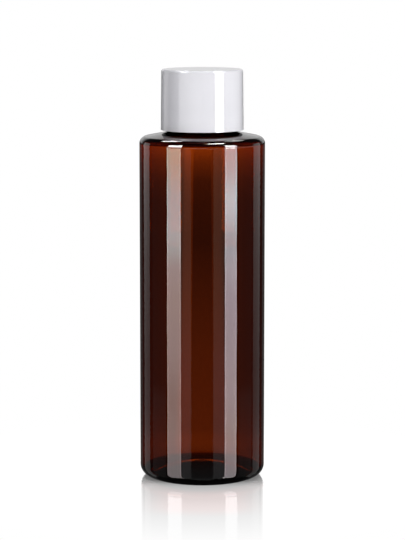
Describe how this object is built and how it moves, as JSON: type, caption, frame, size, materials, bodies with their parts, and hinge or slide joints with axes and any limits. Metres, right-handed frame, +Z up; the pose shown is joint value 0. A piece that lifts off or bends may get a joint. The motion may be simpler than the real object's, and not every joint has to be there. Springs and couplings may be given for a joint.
{
  "type": "plastic shot bottle",
  "caption": "Slim see-through amber plastic bottle, a straight round body with a nearly flat shoulder and a pushed-up base, shut by a plain white screw cap.",
  "frame": {"origin": "centre of the standing ring under the bottle, on its axis", "axes": "+Z up along the bottle's axis, from the base to the cap; the closure thread ends on +X"},
  "size_m": [0.04, 0.04, 0.1311],
  "materials": {
    "amber_plastic": "clear amber, polished",
    "white_plastic": "opaque white, glossy"
  },
  "bodies": {
    "root": {"bottle": "amber_plastic", "cap": "white_plastic"}
  },
  "joints": []
}
